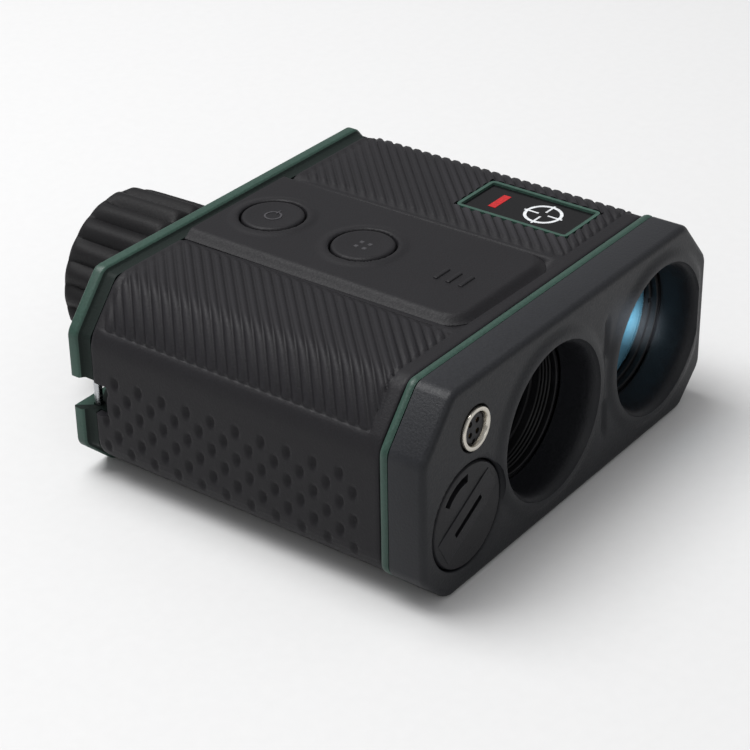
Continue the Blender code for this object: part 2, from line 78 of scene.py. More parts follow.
# %% Finish a piece
def piece(name, shape, finishes, body, stands_for=(), crease=38):
    """Turns a bmesh in millimetres into a named object in metres that rides on a body. Edges that turn
    by more than crease degrees stay sharp."""
    bmesh.ops.scale(shape, vec=(0.001, 0.001, 0.001), verts=shape.verts)
    for face in shape.faces:
        face.smooth = True
    for edge in shape.edges:
        edge.smooth = edge.is_manifold and edge.calc_face_angle(0) < math.radians(crease)
    mesh = bpy.data.meshes.new(name)
    shape.to_mesh(mesh)
    shape.free()
    for finish in finishes:
        mesh.materials.append(finish)
    thing = bpy.data.objects.new(name, mesh)
    scene.collection.objects.link(thing)
    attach(thing, body)
    if stands_for:
        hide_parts(*stands_for)
    print(f"{name}: {len(mesh.polygons)} faces on {body}")

# %% Copy an engineering part
def copy_of(node):
    """A merged copy of an engineering part, in millimetres, with its flat areas joined again."""
    shape = bmesh.new()
    shape.from_mesh(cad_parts[node].data)
    bmesh.ops.scale(shape, vec=(1000, 1000, 1000), verts=shape.verts)
    bmesh.ops.remove_doubles(shape, verts=shape.verts, dist=0.01)
    bmesh.ops.dissolve_limit(shape, angle_limit=math.radians(1), verts=shape.verts, edges=shape.edges)
    for face in shape.faces:
        face.material_index = 0
    return shape

def box_mm(node):
    """The two corners of an engineering part's box, in millimetres."""
    return [corner * 1000 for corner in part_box(node)]

def axis_of(node):
    """The (x, z) of the axis of an engineering part that lies front to back."""
    low, high = box_mm(node)
    return (low.x + high.x) / 2, (low.z + high.z) / 2

# %% Move, turn and round shapes
def move_shape(shape, x, y, z):
    bmesh.ops.translate(shape, vec=(x, y, z), verts=shape.verts)
    return shape

def turn_shape(shape, degrees, axis):
    """Turns a whole shape about one of the axes through the origin."""
    matrix = Matrix.Rotation(math.radians(degrees), 3, axis)
    bmesh.ops.rotate(shape, cent=(0, 0, 0), matrix=matrix, verts=shape.verts)
    return shape

def soften(shape, edges, radius, segments):
    """Rounds the given edges."""
    bmesh.ops.bevel(shape, geom=edges, offset=radius, segments=segments, profile=0.5,
                    affect="EDGES", material=-1)

def runs_along(edge, axis):
    """Whether an edge runs along X (0), Y (1) or Z (2)."""
    return abs((edge.verts[0].co - edge.verts[1].co).normalized()[axis]) > 0.99

# %% Turn a profile on the lathe
def lathe(profile, steps=96):
    """Spins (radius, height) points round Z. A profile that leaves the axis is closed into a ring."""
    shape = bmesh.new()
    points = [shape.verts.new((radius, 0, height)) for radius, height in profile]
    edges = [shape.edges.new(pair) for pair in zip(points, points[1:])]
    if profile[0][0] > 0 and profile[-1][0] > 0:
        edges.append(shape.edges.new((points[-1], points[0])))
    bmesh.ops.spin(shape, geom=points + edges, cent=(0, 0, 0), axis=(0, 0, 1), dvec=(0, 0, 0),
                   angle=math.radians(360), steps=steps, use_merge=True)
    bmesh.ops.remove_doubles(shape, verts=shape.verts, dist=0.0005)
    bmesh.ops.delete(shape, geom=[e for e in shape.edges if e.is_wire], context="EDGES")
    bmesh.ops.recalc_face_normals(shape, faces=shape.faces)
    return shape

def lathe_back(profile, x, z, steps=96):
    """Turns a profile whose heights run front to back as Y, on an axis through (x, z)."""
    return move_shape(turn_shape(lathe(profile, steps), -90, "X"), x, 0, z)

# %% Carve and join shapes
def add_to(shape, other):
    """Puts a second bmesh into the first."""
    mesh = bpy.data.meshes.new("joining")
    other.to_mesh(mesh)
    other.free()
    shape.from_mesh(mesh)
    bpy.data.meshes.remove(mesh)

def carve(shape, cutter):
    """Cuts one closed bmesh out of another with an exact Boolean and gives back the result."""
    both = []
    for label, source in (("blank", shape), ("cutter", cutter)):
        mesh = bpy.data.meshes.new(label)
        source.to_mesh(mesh)
        source.free()
        both.append(bpy.data.objects.new(label, mesh))
        scene.collection.objects.link(both[-1])
    cut = both[0].modifiers.new("cut", "BOOLEAN")
    cut.operation, cut.solver, cut.object = "DIFFERENCE", "EXACT", both[1]
    solved = both[0].evaluated_get(bpy.context.evaluated_depsgraph_get())
    result = bmesh.new()
    result.from_mesh(solved.to_mesh())
    solved.to_mesh_clear()
    for thing in both:
        mesh = thing.data
        bpy.data.objects.remove(thing)
        bpy.data.meshes.remove(mesh)
    bmesh.ops.remove_doubles(result, verts=result.verts, dist=0.002)
    return result

def block(low, high, round_by=0.0, segments=3):
    """A box between two corners with its edges rounded."""
    shape = bmesh.new()
    bmesh.ops.create_cube(shape, size=1)
    low, high = Vector(low), Vector(high)
    bmesh.ops.scale(shape, vec=high - low, verts=shape.verts)
    bmesh.ops.translate(shape, vec=(low + high) / 2, verts=shape.verts)
    if round_by:
        soften(shape, shape.edges[:], round_by, segments)
    return shape

def fade(value, start, end):
    """0 before start, 1 after end and an even, soft climb between them."""
    t = min(1.0, max(0.0, (value - start) / (end - start)))
    return t * t * (3 - 2 * t)

# %% [markdown]
# ## Helpers for finishes
# A finish is a small tree of nodes. One helper adds any node with its settings and its links, and five
# short ones cover the steps that every recipe shares: a noise, a blend of two colours, a change of range,
# a bump and the closing shader. Colours are written as the hex values a maker would pick from a chart
# and are turned to linear light by one function. Patterns read Object coordinates, which are metres
# here, so a grain of so many millimetres has a noise scale of 1000 divided by that size.

# %% Colour and node helpers
def paint(code):
    """A hex colour from a chart, as linear red, green, blue and full opacity."""
    parts = [int(code[i:i + 2], 16) / 255 for i in (1, 3, 5)]
    return [c / 12.92 if c <= 0.04045 else ((c + 0.055) / 1.055) ** 2.4 for c in parts] + [1.0]

def add(tree, kind, inputs=None, **settings):
    """Adds a node, sets its settings, and fills or links its inputs."""
    node = tree.nodes.new("ShaderNode" + kind)
    for name, value in settings.items():
        setattr(node, name, value)
    for name, value in (inputs or {}).items():
        if isinstance(value, bpy.types.NodeSocket):
            tree.links.new(value, node.inputs[name])
        else:
            node.inputs[name].default_value = value
    return node

def new_finish(name):
    """An empty material, its node tree and the Object coordinates that its patterns read."""
    finish = bpy.data.materials.new(name)
    finish.use_nodes = True
    finish.node_tree.nodes.clear()
    return finish, finish.node_tree, add(finish.node_tree, "TexCoord").outputs["Object"]

# %% Steps that the recipes share
def noise(tree, place, scale, detail=2.0, roughness=0.5):
    """A cloudy pattern with about scale lumps in a metre."""
    return add(tree, "TexNoise", {"Vector": place, "Scale": scale, "Detail": detail,
                                  "Roughness": roughness}).outputs["Fac"]

def blend(tree, factor, first, second):
    """The first colour where factor is 0 and the second where it is 1."""
    return add(tree, "MixRGB", {"Fac": factor, "Color1": first, "Color2": second}).outputs["Color"]

def spread(tree, pattern, low, high, start=0.3, end=0.7):
    """Stretches the part of a pattern from start to end over low to high."""
    return add(tree, "MapRange", {"Value": pattern, "From Min": start, "From Max": end,
                                  "To Min": low, "To Max": high}).outputs["Result"]

def relief(tree, pattern, height_mm):
    """A bumped normal, so many millimetres high."""
    return add(tree, "Bump", {"Height": pattern, "Distance": height_mm / 1000,
                              "Strength": 1.0}).outputs["Normal"]

def close(tree, inputs):
    """Ends a finish with the one shader that all of them use."""
    shader = add(tree, "BsdfPrincipled", inputs)
    add(tree, "OutputMaterial", {"Surface": shader.outputs["BSDF"]})

# %% [markdown]
# ## Moulded rubbers and plastics
# Rubber and plastic here come out of a spark-eroded mould, so every one has a fine pebbled grain. What
# tells them apart is colour, gloss and how coarse that grain is. One recipe makes them all: slow patches
# that shift the colour a little as handling does, a grain that bumps the surface and breaks up the gloss,
# and a paler tint on convex edges and crests, partly wear and partly a painted highlight. Grain finer than
# about 0.3 mm would vanish at this size, so none is drawn finer than that.

# %% The moulded recipe
def moulded(name, dark, light, rough, grain_mm, grain_height_mm, gloss=0.22, wear_and_highlight=0.25, patch_mm=14):
    """A rubber or plastic. The higher its pale-edge setting, the paler its convex edges: partly wear, partly a
    painted highlight.
    """
    finish, tree, place = new_finish(name)
    patches = noise(tree, place, 1000 / patch_mm, 3.0, 0.6)
    grain = noise(tree, place, 1000 / grain_mm, 2.0, 0.55)
    # convex edges and rib crests are painted paler, partly as wear and partly as a painted highlight
    worn_and_highlit_edges = spread(tree, add(tree, "NewGeometry").outputs["Pointiness"], 0.0, wear_and_highlight, 0.52, 0.62)
    tone = blend(tree, patches, paint(dark), paint(light))
    speck = spread(tree, grain, 0.82, 1.18)
    grained = add(tree, "VectorMath", {0: tone, "Scale": speck}, operation="SCALE").outputs["Vector"]
    pale = [min(1, c * 3.2) for c in paint(light)[:3]] + [1]
    close(tree, {"Base Color": blend(tree, worn_and_highlit_edges, grained, pale),
                 "Roughness": spread(tree, grain, rough - 0.06, min(1, rough + 0.07)),
                 "Normal": relief(tree, grain, grain_height_mm), "IOR": 1.5,
                 "Specular IOR Level": gloss})
    return finish

# Over-moulded thermoplastic elastomer: soft, matt, close to black with a faint cast.
# its rib crests get a strong pale tint, partly wear and partly a painted highlight
armour_rubber = moulded("over_moulded_elastomer", "#151417", "#1a191c", 0.56, 0.35, 0.05, wear_and_highlight=0.55)
# Silicone keypad: a touch darker and smoother than the armour, with almost no pale edges painted on.
panel_rubber = moulded("silicone_keypad_rubber", "#131215", "#18171a", 0.54, 0.40, 0.04, wear_and_highlight=0.04)
# Glass-filled nylon bezel: charcoal with a fine even grain and a low satin shine.
bezel_plastic = moulded("glass_filled_nylon", "#1a1b1e", "#202124", 0.44, 0.40, 0.05, patch_mm=20)
# Olive-green ABS trim, the one colour on the body.
green_plastic = moulded("olive_green_abs", "#223931", "#2b443b", 0.42, 0.45, 0.03, gloss=0.35)
# The same ABS, made matt, in the step behind the rear lip, where its colour is painted nearly black as the shade
# that falls in that recess.
recess_shade_green = moulded("green_abs_painted_recess_shade", "#101816", "#151e1b", 0.60, 0.45, 0.05, gloss=0.15)
# Vulcanised rubber of the focus ring and eyecup: darker, with a dry bloom.
ring_rubber = moulded("vulcanised_rubber", "#0b0a0c", "#100f11", 0.60, 0.40, 0.05)
# Black nylon of the housing, chassis, holders and cap.
inner_plastic = moulded("black_nylon", "#151517", "#1b1b1e", 0.45, 0.40, 0.03)
# Nitrile seals: plain black and a little shiny.
seal_rubber = moulded("nitrile_rubber", "#121213", "#171718", 0.38, 0.30, 0.02)
# Epoxy chip bodies and the printed shrink sleeve of the cell.
chip_plastic = moulded("epoxy_chip_body", "#141416", "#1a1a1c", 0.55, 0.30, 0.01)
battery_wrap = moulded("cell_shrink_sleeve", "#2f4a63", "#35536e", 0.30, 0.80, 0.01)
print("moulded finishes:", len(bpy.data.materials))

# %% [markdown]
# ## Metals
# The screws and strap pin are stainless steel, the socket shell is nickel plate over brass, the tripod
# insert is bare brass, and the contacts are gold plated. Turned parts carry fine rings from the tool, so
# a noise stretched along one direction breaks the highlight into those rings. The real tool marks are
# about 0.05 mm apart and are drawn at 0.3 mm so that they show.

# %% The turned metal recipe
TOOL_MARKS = (1, 12, 12)  # the marks run along X and are twelve times finer across it

def metal(name, colour, shade, rough):
    """A bare or plated metal with faint rings from the tool."""
    finish, tree, place = new_finish(name)
    along = add(tree, "Mapping", {"Vector": place, "Scale": TOOL_MARKS}).outputs["Vector"]
    marks = noise(tree, along, 280.0, 3.0)
    close(tree, {"Base Color": blend(tree, marks, paint(shade), paint(colour)), "Metallic": 1.0,
                 "Roughness": spread(tree, marks, rough - 0.07, rough + 0.08),
                 "Normal": relief(tree, marks, 0.01)})
    return finish

stainless_steel = metal("stainless_steel", "#c4c6c8", "#a9abae", 0.30)
nickel_plate = metal("nickel_plated_brass", "#d3cec4", "#b5b0a6", 0.20)
brass = metal("turned_brass", "#cfae6c", "#b08f50", 0.30)
gold_plate = metal("gold_plate", "#e6c26a", "#caa24c", 0.22)
# Black anodised aluminium for the lens barrels: the dye leaves a dark, dry metal.
aluminium = moulded("black_anodised_aluminium", "#0e0e10", "#141416", 0.42, 0.30, 0.01, gloss=0.25)

# %% [markdown]
# ## Glass, film and board
# Each lens is optical crown glass with a vacuum coating that throws back blue-green light. The coating is
# drawn as a tinted mirror reflection. On the receiving lens it is deep, so little light gets through. The
# inner boards are green epoxy laminate with copper tracks, drawn as a fine brick pattern under the
# lacquer, and the ribbon is amber film.

# %% Glass finishes
def optical_glass(name, tint, body_colour, clear, reflect, ior=1.52):
    """A coated glass: clear is how much light goes through and reflect how strongly it mirrors."""
    finish, tree, place = new_finish(name)
    smear = noise(tree, place, 60.0, 1.0)
    close(tree, {"Base Color": paint(body_colour), "IOR": ior, "Transmission Weight": clear,
                 "Roughness": spread(tree, smear, 0.015, 0.035, 0.35, 0.75),
                 "Specular IOR Level": reflect, "Specular Tint": paint(tint)})
    return finish

coated_lens_glass = optical_glass("blue_coated_crown_glass", "#b9e6f8", "#5a8ba3", 0.08, 1.0, ior=1.75)
lens_glass = optical_glass("grey_coated_crown_glass", "#c9d6dc", "#3a4248", 0.70, 0.8, ior=1.6)
prism_glass = optical_glass("prism_glass", "#f2f6f8", "#e8f0f0", 0.95, 0.5)

# %% Board and film finishes
def laminate(name, base, track, rough):
    """A board or film crossed by fine straight tracks."""
    finish, tree, place = new_finish(name)
    tracks = add(tree, "TexBrick", {"Vector": place, "Color1": paint(base), "Color2": paint(base),
                                    "Mortar": paint(track), "Scale": 260.0, "Mortar Size": 0.06})
    haze = noise(tree, place, 300.0)
    close(tree, {"Base Color": tracks.outputs["Color"],
                 "Roughness": spread(tree, haze, rough - 0.08, rough + 0.08, 0.0, 1.0)})
    return finish

circuit_board = laminate("green_epoxy_laminate", "#1d4a2c", "#3f7a3c", 0.40)
ribbon_film = laminate("amber_polyimide_film", "#a35d1c", "#c98a3a", 0.35)
# Gloss enamel faces of the badge.
badge_black = moulded("gloss_black_enamel", "#08080a", "#0c0c0e", 0.16, 0.6, 0.004, gloss=0.15, wear_and_highlight=0.0)
badge_white = moulded("white_enamel", "#c9ccce", "#d6d8da", 0.25, 0.6, 0.004, wear_and_highlight=0.0)
badge_red = moulded("red_enamel", "#a3191c", "#b41f22", 0.25, 0.6, 0.004, wear_and_highlight=0.0)
# Soft grey print on the keys.
key_print = moulded("grey_key_print", "#3a393c", "#403f42", 0.5, 0.4, 0.01, wear_and_highlight=0.0)

# %% [markdown]
# ## Dress the parts that stay as engineered
# Everything inside the case is already the right shape, so those parts keep their meshes and only get a
# finish. They show in an exploded or cut-away view.

# %% Finishes for the inner parts
dressed = {
    inner_plastic: ["housing", "power_switch", "mode_switch", "prism_holder", "optical_chassis",
                    "battery_tube", "laser_module", "display_module"],
    circuit_board: ["keypad_board", "detector_board", "main_board", "power_board"],
    chip_plastic: ["processor_chip", "tilt_sensor", "detector_module"],
    ribbon_film: ["keypad_ribbon"],
    prism_glass: ["erecting_prism"],
    battery_wrap: ["battery_cell"],
    stainless_steel: ["battery_spring"],
    gold_plate: ["cap_contact"],
    seal_rubber: ["cap_seal"],
    nickel_plate: ["connector_nut"],
    aluminium: ["lens_cell"],
    lens_glass: ["field_lens"],
}
for finish, nodes in dressed.items():
    for node in nodes:
        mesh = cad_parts[node].data
        mesh.materials.clear()
        mesh.materials.append(finish)
print("dressed engineering parts:", sum(len(nodes) for nodes in dressed.values()))

# %% [markdown]
# ## The eight-sided outline
# Armour, seals, frame and bezel all follow one outline with eight corners. How far a point lies inside
# it picks out their skins, so the outline is kept as corners with the direction out of each side.

# %% Outline corners and side directions
CORNERS = [(-36.8, 39.0), (36.8, 39.0), (45.0, 29.4), (45.0, 6.5),
           (38.0, 0.0), (-38.0, 0.0), (-45.0, 6.5), (-45.0, 29.4)]
CASE_MIDDLE_Z = 19.5
SIDES = []
for (ax, az), (bx, bz) in zip(CORNERS, CORNERS[1:] + CORNERS[:1]):
    length = math.hypot(bx - ax, bz - az)
    SIDES.append((-(bz - az) / length, (bx - ax) / length, ax, az))

def depth_inside(x, z):
    """How far a point lies inside the outline, in millimetres."""
    return min((ax - x) * nx + (az - z) * nz for nx, nz, ax, az in SIDES)

def round_corners(shape, radius):
    """Rounds the edges that run front to back along the eight corners."""
    corners = [e for e in shape.edges if runs_along(e, 1)
               and any(math.hypot(e.verts[0].co.x - x, e.verts[0].co.z - z) < 0.15 for x, z in CORNERS)]
    soften(shape, corners, radius, 4)

def skin_of(shape):
    """The faces that follow the outline, on its outside."""
    shape.normal_update()
    skin = []
    for face in shape.faces:
        middle, out = face.calc_center_median(), face.normal
        outwards = out.x * middle.x + out.z * (middle.z - CASE_MIDDLE_Z) > 0
        if abs(out.y) < 0.3 and depth_inside(middle.x, middle.z) < 1.0 and outwards:
            skin.append(face)
    return skin

# %% Slice and sink a skin
def planes(axis, places):
    """Cutting planes square to an axis, each as a point and a direction."""
    direction = Vector([float(letter == axis) for letter in "XYZ"])
    return [(direction * place, direction) for place in places]

def slice_faces(shape, faces, cuts):
    """Cuts only the given faces with planes and gives back all the pieces."""
    verts = list({v for f in faces for v in f.verts})
    edges = list({e for f in faces for e in f.edges})
    geom = verts + edges + list(faces)
    for point, direction in cuts:
        geom = bmesh.ops.bisect_plane(shape, geom=geom, dist=0.0005, plane_co=point,
                                      plane_no=direction)["geom"]
    return [g for g in geom if isinstance(g, bmesh.types.BMFace)]

def sink_skin(shape, faces, sink):
    """Moves the skin's points inwards by sink(point) millimetres, along the skin's own direction."""
    shape.normal_update()
    skin = set(faces)
    moves = {}
    for vert in {v for f in faces for v in f.verts}:
        out = sum((f.normal for f in vert.link_faces if f in skin), Vector())
        out.y = 0
        moves[vert] = out.normalized() * -sink(vert.co)
    for vert, move in moves.items():
        vert.co += move
print("outline sides:", len(SIDES), "mm inside at the centre:", round(depth_inside(0, CASE_MIDDLE_Z), 1))

# %% [markdown]
# ## The ribbed and dimpled armour
# The real armour is one over-moulded sleeve. Both shoulders carry straight ribs 1.65 mm apart that run at
# 45 degrees to the length and turn down over the chamfers, and the sides carry rows of shallow oval
# dimples. A bump texture would leave the outline smooth, and the ribs must break it, so they are cut as
# real geometry: planes that follow the ribs slice the skin, and then each point sinks by the depth of the
# pattern there. Slicing along the ribs keeps every crest straight with few faces.

# %% Rib and dimple patterns
RIB_Y, RIB_X = 0.434, -0.422          # ribs per millimetre along Y and X
RIB_PROFILE = [(0.0, 0.0), (0.2, 0.03), (0.36, 0.29), (0.5, 0.41), (0.64, 0.29), (0.8, 0.03), (1.0, 0.0)]
LEFT_START, RIGHT_START = 0.15, 0.70  # where the crests fall on each shoulder
LEFT_EDGE, RIGHT_EDGE = -19.6, 13.0   # where the ribs begin beside the keypad panel
RIBS_LOW, RIBS_FRONT = 31.0, -38.5    # where they begin above the sides and behind the bezel
PLAIN_SINK = 0.3                      # how far the plain rubber lies below the crests
SLEEVE_FRONT, SLEEVE_REAR, END_RADIUS = -41.2, 21.9, 0.6
DIMPLE_STEP, DIMPLE_DEPTH, DIMPLE_HALF_LENGTH, DIMPLE_HALF_HEIGHT = 2.75, 0.6, 0.9, 1.55
DIMPLES_LOW, DIMPLES_HIGH, DIMPLES_FRONT, DIMPLES_REAR = 7.0, 24.6, -38.5, 20.5
PANEL_LEFT, PANEL_RIGHT, PANEL_FRONT, PANEL_CORNER = -18.2, 11.8, -38.4, 6.0

def rib_sink(x, y, start):
    """How far the skin lies below the rib crests at a point."""
    turn = (RIB_Y * y + RIB_X * x - start) % 1.0
    for (a, low), (b, high) in zip(RIB_PROFILE, RIB_PROFILE[1:]):
        if turn <= b:
            return low + (high - low) * (turn - a) / (b - a)
    return 0.0

def dimple_sink(y, z):
    """The depth of the staggered oval dimples at a point on either side."""
    best = 0.0
    nearest = round(y / DIMPLE_STEP)
    for column in (nearest - 1, nearest, nearest + 1):
        across = y - DIMPLE_STEP * column
        up = (z - (column % 2) * DIMPLE_STEP + DIMPLE_STEP) % (2 * DIMPLE_STEP) - DIMPLE_STEP
        if DIMPLES_LOW < z - up < DIMPLES_HIGH and DIMPLES_FRONT < DIMPLE_STEP * column < DIMPLES_REAR:
            best = max(best, 1 - (across / DIMPLE_HALF_LENGTH) ** 2 - (up / DIMPLE_HALF_HEIGHT) ** 2)
    return DIMPLE_DEPTH * fade(best, 0.0, 1.0)

def panel_edge(x, y):
    """Distance in from the keypad panel's border, which is round at the front and open at the rear."""
    side, front = min(x - PANEL_LEFT, PANEL_RIGHT - x), y - PANEL_FRONT
    if side < PANEL_CORNER and front < PANEL_CORNER:
        return PANEL_CORNER - math.hypot(PANEL_CORNER - side, PANEL_CORNER - front)
    return min(side, front)

def armour_sink(point):
    """How far the armour's skin is sunk at a point, with ribs, dimples and rounded ends together."""
    x, y, z = point
    ribbed = fade(z, RIBS_LOW, 31.7) * fade(y, RIBS_FRONT, -37.7) * fade(-y, -21.0, -19.4)
    left, right = ribbed * fade(-x, -LEFT_EDGE, 21.2), ribbed * fade(x, RIGHT_EDGE, 15.0)
    mask = left + right
    sink = PLAIN_SINK * (1 - mask) + left * rib_sink(x, y, LEFT_START) + right * rib_sink(x, y, RIGHT_START)
    sink += mask * (1 - mask) * 0.9  # a soft groove where the ribs end
    if z > 38.5:  # a soft valley round the keypad panel
        sink += 0.65 * (1 - fade(-panel_edge(x, y), 0.2, 2.4))
    if abs(x) > 43.5:
        sink += dimple_sink(y, z)
    end = min(y - SLEEVE_FRONT, SLEEVE_REAR - y)
    if end < END_RADIUS:
        sink += END_RADIUS - math.sqrt(max(0.0, END_RADIUS ** 2 - (END_RADIUS - max(0.0, end)) ** 2))
    return sink

# %% Cut the armour
armour = copy_of("armour")
round_corners(armour, 2.3)
end_cuts = planes("Y", (-41.1, -40.9, -40.6, 21.3, 21.6, 21.8))
fade_cuts = planes("X", (-21.2, -20.7, -20.2, -19.6, -19.1, -18.7, 12.4, 12.8, 13.3, 13.9, 14.5, 15.0))
fade_cuts += planes("Y", (-40.2, -39.7, -39.2, -38.5, -38.1, -37.7, 19.4, 20.2, 21.0))
fade_cuts += planes("Z", (25.4, 31.0, 31.35, 31.7))
shoulders = {"left": [], "right": []}
for face in slice_faces(armour, skin_of(armour), end_cuts + fade_cuts):
    face.material_index = 1  # marks the skin until it has been sunk
    middle = face.calc_center_median()
    if middle.z > RIBS_LOW and middle.y > RIBS_FRONT:
        if middle.x < LEFT_EDGE:
            shoulders["left"].append(face)
        elif middle.x > RIGHT_EDGE:
            shoulders["right"].append(face)
rib_direction = Vector((RIB_X, RIB_Y, 0))
for side, start in (("left", LEFT_START), ("right", RIGHT_START)):
    xs = [v.co.x for f in shoulders[side] for v in f.verts]
    span = sorted(RIB_Y * y + RIB_X * x for y in (RIBS_FRONT, SLEEVE_REAR) for x in (min(xs), max(xs)))
    cuts = [(rib_direction * ((rib + start + turn) / rib_direction.length_squared), rib_direction)
            for rib in range(-45, 45) for turn, _ in RIB_PROFILE[:-1]]
    cuts = [cut for cut in cuts if span[0] < cut[0].dot(rib_direction) < span[-1]]
    slice_faces(armour, shoulders[side], cuts)
    print(side, "shoulder cut by", len(cuts), "planes, faces now", len(armour.faces))

# %% Dimple the sides and sink the skin
DIMPLE_GRID = 0.393  # seven cells to a dimple column, so that every oval is cut alike
flanks = [f for f in armour.faces if f.material_index == 1 and abs(f.calc_center_median().x) > 44.0
          and f.calc_center_median().z < 25.4 and abs(f.normal.x) > 0.9]
slice_faces(armour, flanks, planes("Y", [DIMPLES_FRONT + DIMPLE_GRID * i for i in range(152)])
            + planes("Z", [5.2 + DIMPLE_GRID * i for i in range(52)]))
sink_skin(armour, [f for f in armour.faces if f.material_index == 1], armour_sink)
for face in armour.faces:
    face.material_index = 0
piece("armour_sleeve", armour, [armour_rubber], "case", ["armour"], crease=55)

# %% [markdown]
# ## The keypad panel
# A silicone panel runs along the top like a tongue: rounded at the front, with a soft shoulder all round
# and a raised collar round each button. It starts from the engineering part. Insets from the border and
# from the holes would run into each other, so the top is sliced into a fine grid instead, and each point
# takes its height from how far it is from the border and from the buttons.

# %% Shape the keypad panel
BUTTONS = {"power": (-4.4, 12.7), "mode": (-4.4, -7.9)}
PANEL_TOP, PANEL_GRID, PANEL_MIDDLE_X = 39.5, 0.4, -3.2

def panel_height(x, y):
    """The height of the panel's top, with its soft shoulder and a collar round each button."""
    near = min(math.hypot(x - bx, y - by) for bx, by in BUTTONS.values())
    drop = 1.35 * (1 - fade(panel_edge(x, y), -0.2, 2.2))
    collar = 0.3 * fade(near, 6.0, 6.5) * (1 - fade(near, 6.9, 8.6)) - 0.1 * (1 - fade(near, 6.1, 6.4))
    return PANEL_TOP - drop + collar

panel = copy_of("control_panel")
top = [f for f in panel.faces if f.normal.z > 0.9 and f.calc_center_median().z > 39.3]
slice_faces(panel, top, planes("X", [-18.0 + PANEL_GRID * i for i in range(75)])
            + planes("Y", [-38.2 + PANEL_GRID * i for i in range(151)]))
for vert in panel.verts:
    if vert.co.z > 39.4:
        vert.co.z = panel_height(vert.co.x, vert.co.y)
# The engineering part leaves a gap to the armour. Soft rubber fills it, so the panel is widened by 2%
# and its front drawn forward.
move_shape(panel, -PANEL_MIDDLE_X, 0, 0)
bmesh.ops.scale(panel, vec=(1.0195, 1, 1), verts=panel.verts)
move_shape(panel, PANEL_MIDDLE_X, 0, 0)
for vert in panel.verts:
    vert.co.y -= 0.28 * fade(-vert.co.y, 20, 36)
piece("keypad_panel", panel, [panel_rubber], "case", ["control_panel"], crease=60)

# %% [markdown]
# Three short moulded bars across the front of the panel tell a finger where it is. They are plain
# rounded blocks that stand a little proud.

# %% Finger bars
bars = bmesh.new()
for y in (-30.7, -28.1, -25.5):
    add_to(bars, block((-7.2, y - 0.45, 39.2), (-3.0, y + 0.45, 39.75), 0.22, 3))
piece("finger_bars", bars, [panel_rubber], "case")

# %% [markdown]
# ## The two buttons
# Each button is a dished silicone cap with a rounded rim. It is a body of revolution, so it is turned on
# the lathe. The signs are generic: a ring with a stroke for power, and four small squares for mode.

# %% Turn the buttons
def button(x, y):
    """A dished cap with a rounded rim, over a wider foot that stays under the panel."""
    dish = [(r, 39.62 + 0.24 * (r / 5.0) ** 2) for r in (0, 1.2, 2.4, 3.6, 4.5)]
    rim_and_foot = [(5.0, 39.86), (5.35, 39.84), (5.65, 39.7), (5.82, 39.45), (5.9, 39.1), (5.9, 37.0),
                    (6.7, 37.0), (6.7, 35.9), (0, 35.9)]
    return move_shape(lathe(dish + rim_and_foot, 72), x, y, 0)

for name, (x, y) in BUTTONS.items():
    piece(f"{name}_key", button(x, y), [panel_rubber], f"{name}_button", [f"{name}_button"])

# %% Signs on the buttons
x, y = BUTTONS["power"]
sign = move_shape(lathe([(1.35, 39.55), (1.7, 39.55), (1.7, 39.72), (1.35, 39.72)], 24), x, y, 0)
add_to(sign, block((x + 1.0, y - 0.15, 39.55), (x + 2.3, y + 0.15, 39.78), 0.03, 1))
piece("power_sign", sign, [key_print], "power_button")
x, y = BUTTONS["mode"]
sign = bmesh.new()
for dx in (-0.9, 0.9):
    for dy in (-0.9, 0.9):
        square = block((dx - 0.4, dy - 0.4, 39.5), (dx + 0.4, dy + 0.4, 39.68), 0.05, 1)
        add_to(sign, move_shape(square, x, y, 0))
piece("mode_sign", sign, [key_print], "mode_button")

# %% [markdown]
# ## The badge
# A shallow window in the right shoulder holds a badge: an olive rim round a recessed gloss plate. Its
# sign here is a generic aiming mark, a ring with a cross and a small red bar.

# %% Badge rim and plate
badge = block((20.15, -34.75, 37.4), (32.55, -10.65, 38.85))
soften(badge, [e for e in badge.edges if runs_along(e, 2)], 1.0, 4)
lid = [f for f in badge.faces if f.normal.z > 0.9]
bmesh.ops.inset_region(badge, faces=lid, thickness=0.7, depth=0, use_even_offset=True)
bmesh.ops.inset_region(badge, faces=lid, thickness=0.08, depth=-0.45, use_even_offset=True)
for face in lid:
    face.material_index = 1
piece("badge_plate", badge, [green_plastic, badge_black], "case", ["label_plate"])

# %% Badge sign
PRINT_LOW, PRINT_TOP, CROSS_TOP = 38.38, 38.46, 38.44
ring = lathe([(3.1, PRINT_LOW), (3.7, PRINT_LOW), (3.7, PRINT_TOP), (3.1, PRINT_TOP)], 48)
move_shape(ring, 26.35, -26.0, 0)
for x0, y0, x1, y1 in ((22.3, -26.2, 25.4, -25.8), (27.3, -26.2, 30.4, -25.8),
                       (26.15, -30.1, 26.55, -27.0), (26.15, -25.0, 26.55, -21.9)):
    add_to(ring, block((x0, y0, PRINT_LOW), (x1, y1, CROSS_TOP)))
piece("badge_sign", ring, [badge_white], "case")
bar = block((23.6, -17.2, PRINT_LOW), (29.1, -15.6, PRINT_TOP))
piece("badge_bar", bar, [badge_red], "case")

# %% [markdown]
# ## The front bezel
# The bezel is a thick moulded plate. A soft ridge runs round each lens bore and the two ridges meet like
# a figure eight. The plate is drawn as the outline with a generous rounded front edge. A fine grid on its
# face takes the relief, and then flared cutters open the bores, the cap's well and the socket's hole.

# %% Bezel blank with its relief
LENS_Z = 19.6
LENS_AXES = [(-7.3, LENS_Z), (27.6, LENS_Z)]
CAP_AXIS, SOCKET_AXIS = (-32.3, 13.6), (-30.6, 29.7)
BEZEL_BACK, BEZEL_THICK = -43.2, 7

